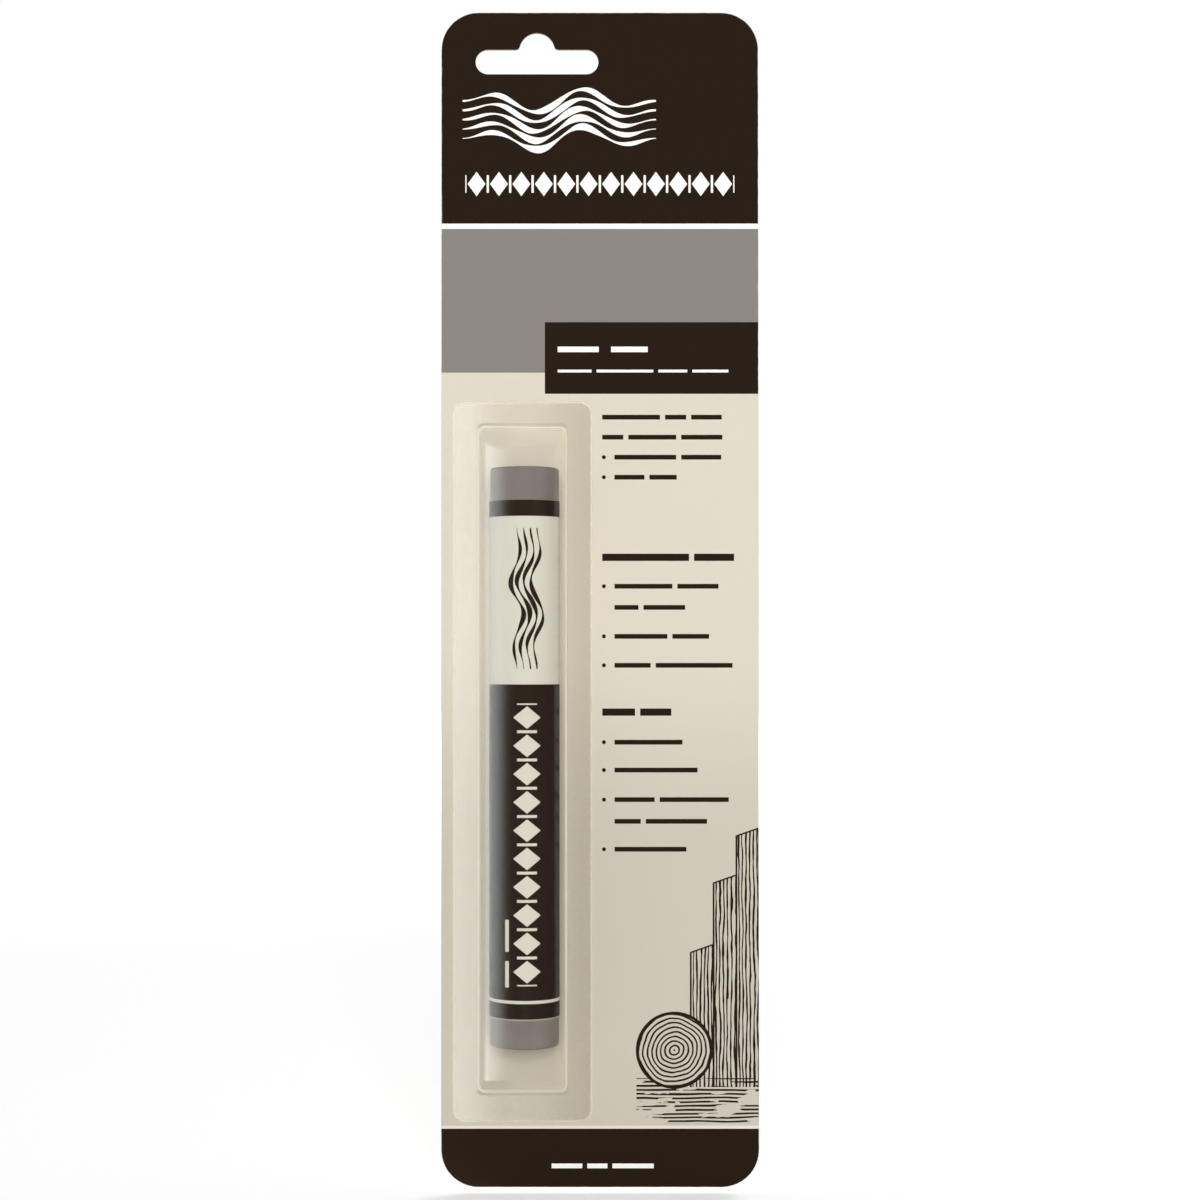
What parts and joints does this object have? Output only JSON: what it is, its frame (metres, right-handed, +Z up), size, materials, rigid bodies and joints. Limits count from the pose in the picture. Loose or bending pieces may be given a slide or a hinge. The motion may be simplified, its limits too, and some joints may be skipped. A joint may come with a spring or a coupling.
{
  "type": "furniture repair wax stick in a blister pack",
  "caption": "Labelled gray wax putty stick lying loosely in a clear plastic blister on a tall printed hang card with a slotted hang hole.",
  "frame": {"origin": "middle of the hang hole's round bump, on the card's back face", "axes": "+Z up the card as it hangs, +X to the right seen from the printed front, +Y out of the card's back"},
  "size_m": [0.057, 0.0141, 0.211],
  "materials": {
    "card": "coated board, satin print",
    "seal": "thin clear coating",
    "film": "clear, glossy",
    "putty": "waxy, semi-matt",
    "label": "coated paper, satin print"
  },
  "bodies": {
    "card": {"backing_card": "card", "heat_seal": "seal"},
    "blister": {"blister": "film"},
    "stick": {"putty_stick": "putty"},
    "label": {"stick_label": "label"}
  },
  "joints": [
    {"name": "blister_lift", "type": "slide", "parent": "card", "child": "blister", "axis": [0, -1, 0], "range_m": [0, 0.03]},
    {"name": "stick_slide", "type": "slide", "parent": "card", "child": "stick", "axis": [0, 0, 1], "range_m": [-0.0049, 0.0035]},
    {"name": "stick_roll", "type": "hinge", "parent": "stick", "child": "label", "pos_m": [-0.00226, -0.0071, -0.12667], "axis": [0, 0, 1], "continuous": true}
  ]
}
